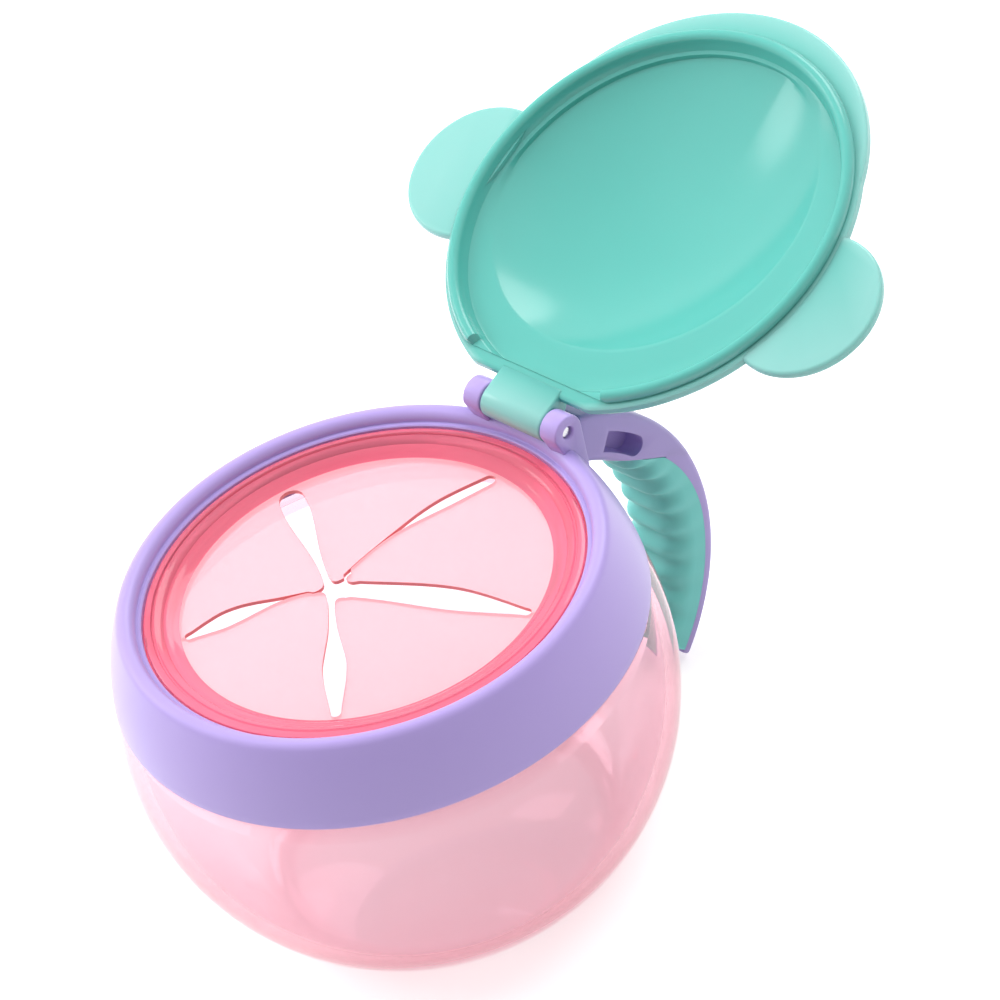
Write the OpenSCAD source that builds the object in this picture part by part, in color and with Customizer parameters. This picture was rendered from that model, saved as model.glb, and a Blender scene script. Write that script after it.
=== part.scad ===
// Toddler snack container: a clear round bowl, a screw-on collar with a hooked handle,
// a soft mouth insert with five flaps, and a flip lid that swings on a steel pin.
// The origin is the centre of the base, +Z is up, and the hinge and handle are on the +Y side.

/* [Bowl] */
// Outer radius of the round bowl
bowl_r = 47.1; // [44:0.1:52]
// Height of the ball's centre above the floor
bowl_centre_z = 35.7; // [33:0.1:38]
// Wall of the bowl
bowl_wall = 2.6; // [2:0.1:3.2]
// Thickness of the flat floor of the bowl
bowl_floor = 3; // [2:0.1:5]
// Height at which the collar meets the bowl
seam_z = 48.6; // [47:0.1:50]
// Wall of the bowl's neck
neck_wall = 2; // [1.6:0.1:2.4]

/* [Screw thread] */
// How far the thread ridges stand out
ridge_h = 1.1; // [0.7:0.1:1.2]
// Thickness of a ridge along the axis
ridge_t = 1.2; // [0.8:0.1:1.3]
// Number of thread starts
starts = 3; // [2:1:3]
// Rise of the collar in one turn
lead = 12; // [12:0.5:14]
// Angle that one ridge spans
ridge_span = 80; // [40:10:100]
// Running gap between collar and neck
thread_gap = 0.4; // [0.35:0.05:0.5]

/* [Collar] */
// Height of the top of the collar's lip
lip_z = 63; // [62.5:0.1:66]
// Radius of the lip's crest
lip_r = 40.1; // [39.6:0.1:41.5]
// Rounding of the lip
lip_round = 1.75; // [1.4:0.05:2]
// Radius of the bulge of the collar's side
side_bulge_r = 40; // [35:1:80]
// Inner radius of the land that holds the insert down
land_r = 37.5; // [36.8:0.1:37.8]
// Depth of the land below the crest
land_drop = 1.9; // [1.6:0.1:2.2]
// Thickness of the land
land_t = 1.4; // [1.2:0.1:1.6]

/* [Handle] */
// Radius of the handle's outer curve
arm_r = 37.5; // [36:0.1:37.7]
// Distance from the cup's axis to the outer curve's top end
root_y = 46.4; // [45.5:0.1:47]
// Height of that end above the collar's lip
root_rise = 0.1; // [-0.4:0.1:1]
// Thickness of the whole arm
arm_t = 9.1; // [8:0.1:9.5]
// Width of the arm
arm_w = 14; // [12:0.5:16]
// Thickness of the hard spine behind the grip
spine_t = 2.2; // [1.8:0.1:3]
// Angle at which the free end stops, below the curve's centre
arm_end = 49; // [30:1:49]
// Angle at which the soft grip starts on the arm's inner face
grip_start = 49.6; // [44:0.2:50]
// Angle at which the soft grip starts against the spine
grip_start_out = 20; // [14:1:22]
// Number of ribs on the grip
rib_count = 10; // [5:1:11]
// How far a rib stands out
rib_h = 0.6; // [0.3:0.1:0.9]
// Depth of the pocket in each side of the arm
pocket_d = 4; // [2:0.5:5]
// Width of that pocket
pocket_w = 3.8; // [2.6:0.2:3.8]

/* [Hinge] */
// Distance of the hinge axis from the cup's axis
hinge_y = 40; // [39.5:0.1:41]
// Height of the hinge axis above the lip
hinge_rise = 3.2; // [3:0.1:4]
// Width of the lid's knuckle
knuckle_w = 14; // [10:0.5:16]
// Thickness of each lug
lug_t = 3.8; // [3:0.1:5]
// Radius of the lugs round the pin
lug_r = 3.1; // [2.9:0.1:3.3]
// Radius of the steel pin
pin_r = 1.05; // [0.8:0.05:1.2]
// Running clearance round the pin
pin_gap = 0.05; // [0.03:0.01:0.1]
// How deep the pin's ends sit below the lugs' faces
pin_recess = 0.6; // [0.4:0.1:1.5]
// Gap between knuckle and lug
hinge_gap = 0.2; // [0.15:0.05:0.4]
// Angle that the lid stands open in the modelled position
open_angle = 160.5; // [90:0.5:161]

/* [Lid] */
// Radius of the lid's rim
lid_r = 38.4; // [38:0.1:39]
// Radius of the front bump that the finger lifts
bump_r = 35.5; // [35:0.1:36]
// How far forward the bump's centre lies
bump_y = 6.7; // [5:0.1:7]
// Radius of each round ear
ear_r = 13.6; // [10:0.1:15]
// Sideways distance of each ear's centre
ear_x = 38; // [36:0.1:40]
// How far behind the lid's centre the ears lie
ear_y = 4.2; // [0:0.1:6]
// Thickness of the rim and the ears
rim_t = 2; // [1.6:0.1:2.6]
// Height of the dome above the rim
dome_h = 10; // [6:0.5:12]
// Wall of the dome
dome_wall = 1.8; // [1.4:0.1:2.2]
// Outer radius of the ring under the lid
ring_r = 37.4; // [36.6:0.1:37.4]
// Width of that ring
ring_w = 2.8; // [2:0.1:3]
// Gap between lid and lip when closed
lid_gap = 0.4; // [0.3:0.05:0.6]
// Half of the opening in the ring at the hinge
ring_break = 15.5; // [14:0.5:18]

/* [Mouth insert] */
// Thickness of the soft membrane
skin_t = 1.2; // [0.8:0.1:1.4]
// How far the membrane lies below the lip
skin_drop = 3.9; // [3.7:0.1:4.2]
// Radius of the circle on which the slits end
slit_r = 30.8; // [28:0.1:31]
// Radius of a slit's round outer end
slit_end_r = 1.9; // [0.8:0.1:2]
// Width of a slit at the middle
slit_tip_w = 1.4; // [0.7:0.1:1.6]
// Radius of the small opening where the slits meet
star_r = 1.9; // [1:0.1:2.4]
// Sideways offset of the point where the slits meet
star_x = -5; // [-6:0.5:0]
// Fore-and-aft offset of the point where the slits meet
star_y = -3.5; // [-5:0.5:0]
// Depth of the plug skirt inside the neck
skirt_h = 3.5; // [2:0.1:4.5]
// Thickness of the insert's clamped flange
flange_t = 1.5; // [1.2:0.1:1.6]

/* [Hidden] */
$fn = 96;
eps = 0.02;

// Faces of different bodies that lie flat on each other keep this gap
face_gap = 0.15;
// Soft parts that slide past hard ones keep this gap
soft_gap = 0.3;

// The insert is clamped between the neck's top and the collar's land
land_top = lip_z - land_drop;
land_under = land_top - land_t;
flange_top = land_under - face_gap;
neck_top = flange_top - flange_t - face_gap;
lip_in = lip_r - lip_round;
lip_mid_z = lip_z - lip_round;

// The neck and the thread, from the collar's lip inwards
bore_r = lip_r + 2;
neck_r = bore_r - ridge_h - thread_gap;
neck_in = neck_r - neck_wall;
shoulder_z = seam_z - 0.3;
seam_r = sqrt(pow(bowl_r, 2) - pow(shoulder_z - bowl_centre_z, 2));
bore_top = land_under - 2.2;
pitch = lead / starts;
ridge_step = 10;
ridge_rise = lead * ridge_step / 360;
thread_z = seam_z + 1.2;
cavity_r = bowl_r - bowl_wall;
cavity_turn_z = bowl_centre_z + 8;
cavity_turn_r = sqrt(pow(cavity_r, 2) - pow(cavity_turn_z - bowl_centre_z, 2));
cavity_neck_z = shoulder_z - 0.3;

// Hinge
axis_z = lip_z + hinge_rise;
lug_in = knuckle_w / 2 + hinge_gap;
lug_out = lug_in + lug_t;
pin_half = lug_out - pin_recess;

// Lid, measured in its closed position
rim_under = lip_z + lid_gap;
rim_top = rim_under + rim_t;
ring_tip = land_top + 0.55;
ring_round = ring_w / 2;
dome_r = ring_r - 0.4;
dome_in_r = ring_r - ring_w;
lid_cut_y = hinge_y - lug_r - 0.9;

// Insert
skin_top = lip_z - skin_drop;
skin_under = skin_top - skin_t;
insert_r = land_r - soft_gap;
insert_top = land_top - 0.1;
skirt_r = neck_in - soft_gap;
skirt_t = 1.6;
flange_r = neck_r - 0.4;
well_r = slit_r + 0.8;
fold_r = slit_r * cos(36);
fold_gap = skin_t / 2;

// Grip
grip_out = arm_r - spine_t;
arm_in = arm_r - arm_t;
arm_root = 66;
arm_y = root_y - arm_r * cos(arm_root);
arm_z = lip_z + root_rise - arm_r * sin(arm_root);
rib_r = arm_t / 4.5;
grip_round = arm_w * 0.32;

// Pocket in the arm, by the radius of its middle and its angles
pocket_r = arm_in + arm_t * 0.42;
pocket_from = 40;
pocket_to = 54;

// Centre of the circle of radius r that joins two points, on the side of the axis
function arc_centre(p, q, r) =
    let (m = (p + q) / 2, d = q - p, h = sqrt(r * r - d * d / 4), n = [-d[1], d[0]] / norm(d))
    m + n * h;
// Points of that arc from p to q
function arc_points(p, q, r, steps) =
    let (c = arc_centre(p, q, r), a0 = atan2(p[1] - c[1], p[0] - c[0]),
         a1 = atan2(q[1] - c[1], q[0] - c[0]))
    [for (i = [0:steps]) let (a = a0 + (a1 - a0) * i / steps) c + r * [cos(a), sin(a)]];
// Centre of a circle of radius r that passes p and touches the circle of radius s round q
function touching_centre(p, q, r, s) =
    let (d = norm(q - p), u = (q - p) / d, along = (2 * r * s - s * s + d * d) / (2 * d))
    p + u * along + [-u[1], u[0]] * sqrt(r * r - along * along);
// Radius of the sphere that spans a dome of base radius r and height h
function dome_radius(r, h) = (r * r + h * h) / (2 * h);
function slit_angle(i) = 90 + 72 * i;
function on_circle(r, a) = r * [cos(a), sin(a)];

// A thread ridge climbs in short level steps, and every second step is a hair slimmer
module thread_ridge(r_in, r_out, z, span) {
    for (i = [0:span / ridge_step - 1])
        rotate([0, 0, i * ridge_step]) translate([0, 0, z + ridge_rise * i])
            rotate_extrude(angle = ridge_step + 0.4)
                translate([r_in, 0]) square([r_out - r_in - (i % 2) * 2 * eps, ridge_t]);
}

// Cross-section of the bowl: a flat-footed ball, its shoulder and neck, less the cavity
module bowl_section() {
    difference() {
        union() {
            intersection() {
                translate([0, bowl_centre_z]) circle(r = bowl_r);
                square([bowl_r + 1, shoulder_z]);
            }
            translate([0, cavity_turn_z]) square([neck_r, neck_top - cavity_turn_z]);
        }
        intersection() {
            translate([0, bowl_centre_z]) circle(r = cavity_r);
            translate([0, bowl_floor]) square([bowl_r, cavity_turn_z - bowl_floor]);
        }
        polygon([[0, cavity_turn_z - eps], [cavity_turn_r, cavity_turn_z - eps],
                 [neck_in, cavity_neck_z], [neck_in, neck_top + 1], [0, neck_top + 1]]);
    }
}

// One turned bowl with a flat foot, a shoulder and a threaded neck
module bowl() {
    color([1.0, 0.72, 0.80, 0.5]) union() {
        rotate_extrude() bowl_section();
        for (i = [0:starts - 1]) rotate([0, 0, 360 / starts * i])
            thread_ridge(neck_r - 0.4, neck_r + ridge_h, thread_z + pitch / 2, ridge_span);
    }
}

// Cross-section of the collar, from the seam up the side, over the lip and down to the thread
module collar_section() {
    roll = [lip_r, lip_mid_z];
    side_foot = [max(seam_r + 0.25, bore_r + 1.2), seam_z];
    side_centre = touching_centre(side_foot, roll, side_bulge_r, lip_round);
    side_top = side_centre + side_bulge_r * (roll - side_centre) / norm(roll - side_centre);
    difference() {
        union() {
            polygon(concat(
                [[bore_r, seam_z]],
                arc_points(side_foot, side_top, side_bulge_r, 10),
                [roll, [lip_in, lip_mid_z], [lip_in, land_top], [land_r, land_top],
                 [land_r, land_under], [bore_r - 1, land_under], [bore_r, bore_top]]));
            intersection() {
                translate([lip_r, lip_mid_z]) circle(r = lip_round);
                translate([lip_in - 1, land_top - 0.4]) square([2 * lip_round + 2, lip_round * 2]);
            }
        }
        translate([0, seam_z - 1]) square([neck_r, bore_top - seam_z + 1]);
    }
}

// A bent bar round the handle's centre, with its section given as a child
module arm_sweep(from, to) {
    translate([0, arm_y, arm_z]) rotate([90, 0, 90]) rotate([0, 0, from])
        rotate_extrude(angle = to - from) children();
}

// Section of the arm between two radii, with rounded corners on the chosen sides
module arm_section(r_in, r_out, round_in, round_out) {
    union() {
        translate([r_in + round_in, -arm_w / 2])
            square([r_out - r_in - round_in - round_out, arm_w]);
        translate([r_in, -arm_w / 2 + round_in]) square([r_out - r_in, arm_w - 2 * round_in]);
        if (round_out > 0) for (s = [-1, 1])
            translate([r_out - round_out, s * (arm_w / 2 - round_out)]) circle(r = round_out);
        if (round_in > 0) for (s = [-1, 1])
            translate([r_in + round_in, s * (arm_w / 2 - round_in)]) circle(r = round_in);
    }
}

// Side view of one lug: a round eye on a straight post that runs down into the collar
module lug_outline() {
    translate([hinge_y, axis_z]) circle(r = lug_r);
    polygon([[hinge_y - lug_r, axis_z], [lip_in, lip_mid_z + 0.6],
             [lip_r + 0.3, lip_mid_z - 1], [bore_r - 0.1, lip_z - 6],
             [bore_r + 0.5, lip_z - 6], [hinge_y + lug_r, axis_z]]);
}

// Extrudes a side view, drawn in Y and Z, across the width from x0 to x1
module across(x0, x1) {
    translate([x0, 0, 0]) rotate([90, 0, 90]) linear_extrude(x1 - x0) children();
}

// Collar, hinge lugs and the hard arm are one moulding
module collar() {
    color([0.70, 0.63, 0.85]) difference() {
        union() {
            rotate_extrude() collar_section();
            for (i = [0:starts - 1]) rotate([0, 0, 360 / starts * i])
                thread_ridge(bore_r - ridge_h + eps, bore_r + 0.4, thread_z, ridge_span);
            for (s = [-1, 1])
                across(s > 0 ? lug_in : -lug_out, s > 0 ? lug_out : -lug_in) lug_outline();
            difference() {
                arm_sweep(-arm_end, arm_root) arm_section(arm_in, arm_r, arm_t * 0.2, spine_t / 2);
                cylinder(r = bore_r + 0.1, h = axis_z * 2);
                grip_space();
            }
        }
        translate([-lug_out - 1, hinge_y, axis_z]) rotate([0, 90, 0])
            cylinder(r = pin_r, h = 2 * lug_out + 2, $fn = 48);
        for (s = [-1, 1]) translate([s * (arm_w / 2 - pocket_d / 2 + eps), 0, 0]) arm_pocket();
    }
}

// Slot sunk in the side of the arm near its root, with its lower end round
module arm_pocket() {
    arm_sweep(pocket_from, pocket_to)
        translate([pocket_r - pocket_w / 2, -pocket_d / 2]) square([pocket_w, pocket_d]);
    translate([0, arm_y + pocket_r * cos(pocket_from), arm_z + pocket_r * sin(pocket_from)])
        rotate([0, 90, 0]) cylinder(r = pocket_w / 2, h = pocket_d + 3 * eps, center = true, $fn = 48);
}

// Room for the soft grip on the inner side of the spine
module grip_space() {
    intersection() {
        arm_sweep(-arm_end - 5, grip_start + 5) translate([arm_in - 5, -arm_w])
            square([grip_out - arm_in + 5, 2 * arm_w]);
        across(-arm_w, arm_w) below_grip_line(0);
    }
}

// Side view of everything below the slanted line where the soft grip starts, lowered by gap
module below_grip_line(gap) {
    inner = [arm_y, arm_z] + on_circle(arm_in, grip_start);
    outer = [arm_y, arm_z] + on_circle(grip_out, grip_start_out);
    run = (outer - inner) / norm(outer - inner);
    down = [run[1], -run[0]];
    reach = 3 * arm_r;
    polygon([inner - run * arm_t + down * gap, outer + run * arm_r + down * gap,
             outer + run * arm_r + down * reach, inner - run * arm_t + down * reach]);
}

// Soft moulded grip on the inner face of the arm, with ribs across it
module grip() {
    color([0.45, 0.79, 0.74]) intersection() {
        union() {
            arm_sweep(-arm_end + 1, grip_start) intersection() {
                arm_section(arm_in, arm_r, grip_round, 0);
                translate([0, -arm_w]) square([grip_out - face_gap, 2 * arm_w]);
            }
            for (i = [0:rib_count - 1])
                let (a = -arm_end + 6 + i * (arm_end + grip_start - 14) / (rib_count - 1))
                    translate([0, arm_y + (arm_in + rib_r - rib_h) * cos(a),
                               arm_z + (arm_in + rib_r - rib_h) * sin(a)])
                        rotate([0, 90, 0])
                            cylinder(r = rib_r, h = arm_w - grip_round * 1.2, center = true, $fn = 32);
        }
        across(-arm_w, arm_w) below_grip_line(face_gap);
    }
}

// Steel pin through both lugs and the knuckle
module hinge_pin() {
    color("silver") translate([-pin_half, hinge_y, axis_z]) rotate([0, 90, 0])
        cylinder(r = pin_r, h = 2 * pin_half, $fn = 48);
}

// Outline of the lid seen from above, in its closed position
module lid_outline() {
    intersection() {
        union() {
            circle(r = lid_r);
            translate([0, -bump_y]) circle(r = bump_r);
            for (s = [-1, 1]) translate([s * ear_x, ear_y]) circle(r = ear_r);
        }
        translate([-100, -100]) square([200, 100 + lid_cut_y]);
    }
}

// The lid in its closed position
module lid_closed() {
    dome_ball = dome_radius(dome_r, dome_h);
    cave_h = dome_h - dome_wall + 0.8;
    cave_ball = dome_radius(dome_in_r, cave_h);
    difference() {
        union() {
            translate([0, 0, rim_under]) linear_extrude(rim_t) lid_outline();
            rotate_extrude() intersection() {
                translate([0, rim_top + dome_h - dome_ball]) circle(r = dome_ball);
                translate([0, rim_top - eps]) square([dome_r, dome_h + 1]);
            }
            difference() {
                rotate_extrude() {
                    translate([ring_r - ring_w, ring_tip + ring_round])
                        square([ring_w, rim_under - ring_tip - ring_round + eps]);
                    translate([ring_r - ring_round, ring_tip + ring_round]) circle(r = ring_round);
                }
                translate([-ring_break, 0, 0]) cube([2 * ring_break, 100, 100]);
            }
            translate([-knuckle_w / 2, 0, 0]) across(0, knuckle_w) knuckle_outline();
            translate([-ring_break, lid_cut_y - 2.4, rim_under - 0.8])
                cube([2 * ring_break, 2.4, rim_t + 0.8]);
        }
        rotate_extrude() intersection() {
            translate([0, rim_top - 0.8 + cave_h - cave_ball]) circle(r = cave_ball);
            translate([0, rim_top - 0.8]) square([dome_in_r, dome_h]);
        }
        intersection() {
            translate([0, 0, ring_tip - 1]) cylinder(r = dome_in_r, h = rim_top - 0.8 - ring_tip + 1 + eps);
            translate([-100, -100, 0]) cube([200, 100 + lid_cut_y - 2.4, 200]);
        }
        translate([-knuckle_w, hinge_y, axis_z]) rotate([0, 90, 0])
            cylinder(r = pin_r + pin_gap, h = 2 * knuckle_w, $fn = 48);
    }
}

// Side view of the knuckle: a round eye and a bar to the rim
module knuckle_outline() {
    translate([hinge_y, axis_z]) circle(r = lug_r - 0.1);
    polygon([[lid_cut_y - 2, rim_under], [hinge_y, rim_under],
             [hinge_y, axis_z + lug_r - 0.5], [lid_cut_y - 2, rim_top]]);
}

// The lid stands open, turned back about the pin
module lid() {
    color([0.45, 0.80, 0.74])
        translate([0, hinge_y, axis_z]) rotate([-open_angle, 0, 0])
            translate([0, -hinge_y, -axis_z]) lid_closed();
}

// One slit: a wedge from the small opening at the meeting point, ending in a circle
module slit(i) {
    tip = [star_x, star_y];
    end = on_circle(slit_r - slit_end_r, slit_angle(i));
    d = (end - tip) / norm(end - tip);
    side = [-d[1], d[0]];
    half = slit_end_r - 3 * eps;
    polygon([tip - d + side * slit_tip_w / 2, tip - d - side * slit_tip_w / 2,
             end - side * half, end + side * half]);
    translate(end) circle(r = slit_end_r, $fn = 32);
}

// The soft insert outside its folds: clamped flange, stepped rim, skirt and rest of the skin
module insert_ring() {
    color([1.0, 0.48, 0.55, 0.7]) difference() {
        union() {
            rotate_extrude()
                polygon([[well_r, skin_under], [skirt_r - skirt_t, skin_under],
                         [skirt_r - skirt_t, skin_under - skirt_h], [skirt_r, skin_under - skirt_h],
                         [skirt_r, neck_top + face_gap], [flange_r, neck_top + face_gap],
                         [flange_r, flange_top], [insert_r, flange_top],
                         [insert_r, insert_top - 0.5], [insert_r - 0.5, insert_top],
                         [insert_r - 3.2, insert_top - 0.5], [insert_r - 3.6, insert_top - 0.9],
                         [well_r + 0.8, skin_top + 0.2], [well_r, skin_top]]);
            translate([0, 0, skin_under]) cylinder(r = well_r + 1, h = skin_t);
        }
        translate([0, 0, skin_under - 1]) linear_extrude(skin_t + 2) {
            for (i = [0:4]) slit(i);
            fold_pentagon(fold_gap);
        }
    }
}

// The five-sided window inside the folds, grown by g
module fold_pentagon(g) {
    polygon([for (i = [0:4]) on_circle((fold_r + g) / cos(36), slit_angle(i))]);
}

// One flap: the triangle between two slits and its fold
module flap(i) {
    a = on_circle((fold_r - fold_gap / 2) / cos(36), slit_angle(i));
    b = on_circle((fold_r - fold_gap / 2) / cos(36), slit_angle(i + 1));
    color([1.0, 0.72, 0.78, 0.7]) translate([0, 0, skin_under]) linear_extrude(skin_t)
        difference() {
            polygon([[star_x, star_y], a, b]);
            slit(i);
            slit(i + 1);
            translate([star_x, star_y]) circle(r = star_r, $fn = 32);
        }
}

bowl();
collar();
grip();
hinge_pin();
lid();
insert_ring();
flap(0);  // flap_1
flap(1);  // flap_2
flap(2);  // flap_3
flap(3);  // flap_4
flap(4);  // flap_5
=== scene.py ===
from math import asin, atan2, cos, degrees, hypot, pi, radians, sin, sqrt

import bmesh
import bpy
from mathutils import Matrix, Vector


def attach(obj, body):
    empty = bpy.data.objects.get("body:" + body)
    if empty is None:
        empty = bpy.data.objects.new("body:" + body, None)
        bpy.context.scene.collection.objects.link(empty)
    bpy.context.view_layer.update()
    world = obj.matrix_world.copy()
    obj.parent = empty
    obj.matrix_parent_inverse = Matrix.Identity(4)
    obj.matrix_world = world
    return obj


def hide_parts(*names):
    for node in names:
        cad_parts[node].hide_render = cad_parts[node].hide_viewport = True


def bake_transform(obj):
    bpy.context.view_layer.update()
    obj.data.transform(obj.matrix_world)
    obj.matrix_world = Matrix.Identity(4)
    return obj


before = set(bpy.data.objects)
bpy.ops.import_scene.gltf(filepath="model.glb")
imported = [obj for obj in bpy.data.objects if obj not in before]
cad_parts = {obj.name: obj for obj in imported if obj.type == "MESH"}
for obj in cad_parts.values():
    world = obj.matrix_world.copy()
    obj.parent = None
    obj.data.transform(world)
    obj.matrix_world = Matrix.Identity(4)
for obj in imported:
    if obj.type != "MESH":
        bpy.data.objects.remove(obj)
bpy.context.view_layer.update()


# Camera: a long lens stands to the front and right of the cup, well above it, and is
# turned a little on its side. The whole cup stands on its flat base.
mm = 0.001
lip_crest = Vector((0, 0, 63 * mm))
camera_distance = 740 * mm
camera_side, camera_height = radians(57.12), radians(39.44)
aim_side, aim_height = radians(54.61), radians(39.15)
camera_roll = radians(16.48)


def direction(side, height):
    """The unit vector towards a place beside and above the cup."""
    return Vector((sin(side) * cos(height), -cos(side) * cos(height), sin(height)))


back = direction(aim_side, aim_height)
level_right = (-back).cross(Vector((0, 0, 1))).normalized()
level_up = level_right.cross(-back)
right = level_right * cos(camera_roll) - level_up * sin(camera_roll)
up = level_right * sin(camera_roll) + level_up * cos(camera_roll)
lens = bpy.data.cameras.new("photo camera")
lens.sensor_width = 36
lens.lens = 163.4
camera = bpy.data.objects.new("photo_camera", lens)
camera.matrix_world = Matrix.Translation(
    lip_crest + camera_distance * direction(camera_side, camera_height)
) @ Matrix((right, up, back)).transposed().to_4x4()
bpy.context.scene.collection.objects.link(camera)
bpy.context.scene.camera = camera
bpy.context.scene.view_settings.view_transform = "Standard"


# Studio: a white room with two wide soft lamps, on the left and above, and two weak ones
# that only put gleams on glossy surfaces. The cup stands on a sheet of white paper that
# runs out to pure white.
def tint(red, green, blue):
    """A colour on the 0 to 255 scale as linear values."""
    return [((c / 255 + 0.055) / 1.055) ** 2.4 for c in (red, green, blue)] + [1]


def on_rays(nodes, links, *kinds):
    """1 for the given kinds of ray, and 0 for all others."""
    path = nodes.new("ShaderNodeLightPath")
    total = path.outputs[kinds[0]]
    for name in kinds[1:]:
        add = nodes.new("ShaderNodeMath")
        add.operation = "MAXIMUM"
        links.new(total, add.inputs[0])
        links.new(path.outputs[name], add.inputs[1])
        total = add.outputs[0]
    return total


seen_directly = ("Is Camera Ray", "Is Glossy Ray", "Is Transmission Ray")
room_light = 0.45
world = bpy.data.worlds.new("white room")
world.use_nodes = True
nodes, links = world.node_tree.nodes, world.node_tree.links
strength = nodes.new("ShaderNodeMapRange")
strength.inputs["To Min"].default_value = room_light
strength.inputs["To Max"].default_value = 1
links.new(on_rays(nodes, links, *seen_directly), strength.inputs["Value"])
links.new(strength.outputs["Result"], nodes["Background"].inputs["Strength"])
nodes["Background"].inputs["Color"].default_value = (1, 1, 1, 1)
bpy.context.scene.world = world


def soft_lamp(name, side, height, distance, size, watts, mirrored=False):
    """A round lamp that faces the lip. Only a mirrored one shows in glossy surfaces."""
    lamp = bpy.data.lights.new(name, "AREA")
    lamp.shape = "DISK"
    lamp.size = size * mm
    lamp.energy = watts
    holder = bpy.data.objects.new(name, lamp)
    place = direction(radians(side), radians(height)) * distance * mm
    holder.matrix_world = Matrix.Translation(lip_crest + place) @ place.to_track_quat(
        "Z", "Y"
    ).to_matrix().to_4x4()
    holder.visible_glossy = mirrored
    bpy.context.scene.collection.objects.link(holder)


soft_lamp("window_left", -66, 38, 1000, 1000, 11.0)
soft_lamp("overhead", 158, 62, 1100, 900, 8.0)
soft_lamp("rim_back", 202, 38, 900, 420, 1.6, mirrored=True)
soft_lamp("strip_left", -75, 30, 900, 260, 0.5, mirrored=True)

floor_half, floor_drop = 3000, 0.1
fade_from, fade_to = 250, 900
lift_near, lift_far = 0.42, 1
bm = bmesh.new()
bmesh.ops.create_grid(bm, x_segments=1, y_segments=1, size=floor_half * mm)
bmesh.ops.translate(bm, verts=bm.verts, vec=(0, 0, -floor_drop * mm))
mesh = bpy.data.meshes.new("white_table")
bm.to_mesh(mesh)
bm.free()
floor = bpy.data.objects.new("white_table", mesh)
bpy.context.scene.collection.objects.link(floor)
paper = bpy.data.materials.new("white paper")
paper.use_nodes = True
nodes, links = paper.node_tree.nodes, paper.node_tree.links
sheet = nodes["Principled BSDF"]
sheet.inputs["Base Color"].default_value = (0.86, 0.86, 0.87, 1)
sheet.inputs["Roughness"].default_value = 0.9
sheet.inputs["Emission Color"].default_value = (1, 1, 1, 1)
where = nodes.new("ShaderNodeTexCoord")
away = nodes.new("ShaderNodeVectorMath")
away.operation = "LENGTH"
links.new(where.outputs["Object"], away.inputs[0])
lift = nodes.new("ShaderNodeMapRange")
lift.inputs["From Min"].default_value = fade_from * mm
lift.inputs["From Max"].default_value = fade_to * mm
lift.inputs["To Min"].default_value = lift_near
lift.inputs["To Max"].default_value = lift_far
links.new(away.outputs["Value"], lift.inputs["Value"])
seen = nodes.new("ShaderNodeMath")
seen.operation = "MULTIPLY"
links.new(on_rays(nodes, links, *seen_directly), seen.inputs[0])
links.new(lift.outputs["Result"], seen.inputs[1])
links.new(seen.outputs["Value"], sheet.inputs["Emission Strength"])
floor.data.materials.append(paper)


# Bowl: a clear pale pink ball with a flat foot and a screw neck, injection moulded in
# one piece. It stands on the table and carries everything else.
def arc(centre, radius, start, end, count):
    """Points of an arc, as (distance from the axis, height), with angles in degrees."""
    turns = [radians(start + (end - start) * i / count) for i in range(count + 1)]
    return [
        (centre[0] + radius * cos(a), centre[1] + radius * sin(a)) for a in turns
    ]


def turned(profile, steps=192):
    """A solid turned about the cup's axis from a closed profile in its XZ plane."""
    bm = bmesh.new()
    verts = [bm.verts.new((r, 0, z)) for r, z in profile]
    for a, b in zip(verts, verts[1:] + verts[:1]):
        if a.co.x or b.co.x:
            bm.edges.new((a, b))
    bmesh.ops.spin(bm, geom=bm.verts[:] + bm.edges[:], axis=(0, 0, 1), cent=(0, 0, 0),
                   angle=2 * pi, steps=steps, use_merge=True)
    bmesh.ops.remove_doubles(bm, verts=bm.verts, dist=1e-4)
    bmesh.ops.recalc_face_normals(bm, faces=bm.faces)
    return bm


def swept(section, place, centre, axis, start, end, steps, climb=0):
    """A bar swept about an axis, with both ends closed. place sets a section point in the
    sweep's starting plane, and climb lifts the bar over the whole sweep."""
    bm = bmesh.new()
    verts = [bm.verts.new(place(*point)) for point in section]
    for a, b in zip(verts, verts[1:] + verts[:1]):
        bm.edges.new((a, b))
    bmesh.ops.rotate(bm, verts=verts, cent=centre,
                     matrix=Matrix.Rotation(radians(start), 3, axis))
    bmesh.ops.spin(bm, geom=bm.verts[:] + bm.edges[:], axis=axis, cent=centre,
                   angle=radians(end - start), steps=steps, dvec=(0, 0, climb / steps))
    bmesh.ops.holes_fill(bm, edges=bm.edges, sides=0)
    bmesh.ops.recalc_face_normals(bm, faces=bm.faces)
    return bm


def joined(*parts):
    """Several blanks put together as one."""
    whole = bmesh.new()
    for bm in parts:
        mesh = bpy.data.meshes.new("part")
        bm.to_mesh(mesh)
        bm.free()
        whole.from_mesh(mesh)
        bpy.data.meshes.remove(mesh)
    return whole


sharp_angle = radians(34)


def as_piece(name, bm, material, body, replaced):
    """Sets a finished blank, drawn in millimetres, in its place on the cup."""
    for face in bm.faces:
        face.smooth = True
    for edge in bm.edges:
        if len(edge.link_faces) == 2:
            edge.smooth = edge.calc_face_angle() < sharp_angle
    bmesh.ops.scale(bm, verts=bm.verts, vec=(mm, mm, mm))
    mesh = bpy.data.meshes.new(name)
    bm.to_mesh(mesh)
    bm.free()
    piece = bpy.data.objects.new(name, mesh)
    bpy.context.scene.collection.objects.link(piece)
    piece.data.materials.append(material)
    if body:
        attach(piece, body)
    if replaced:
        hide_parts(*replaced)
    return piece


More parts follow.
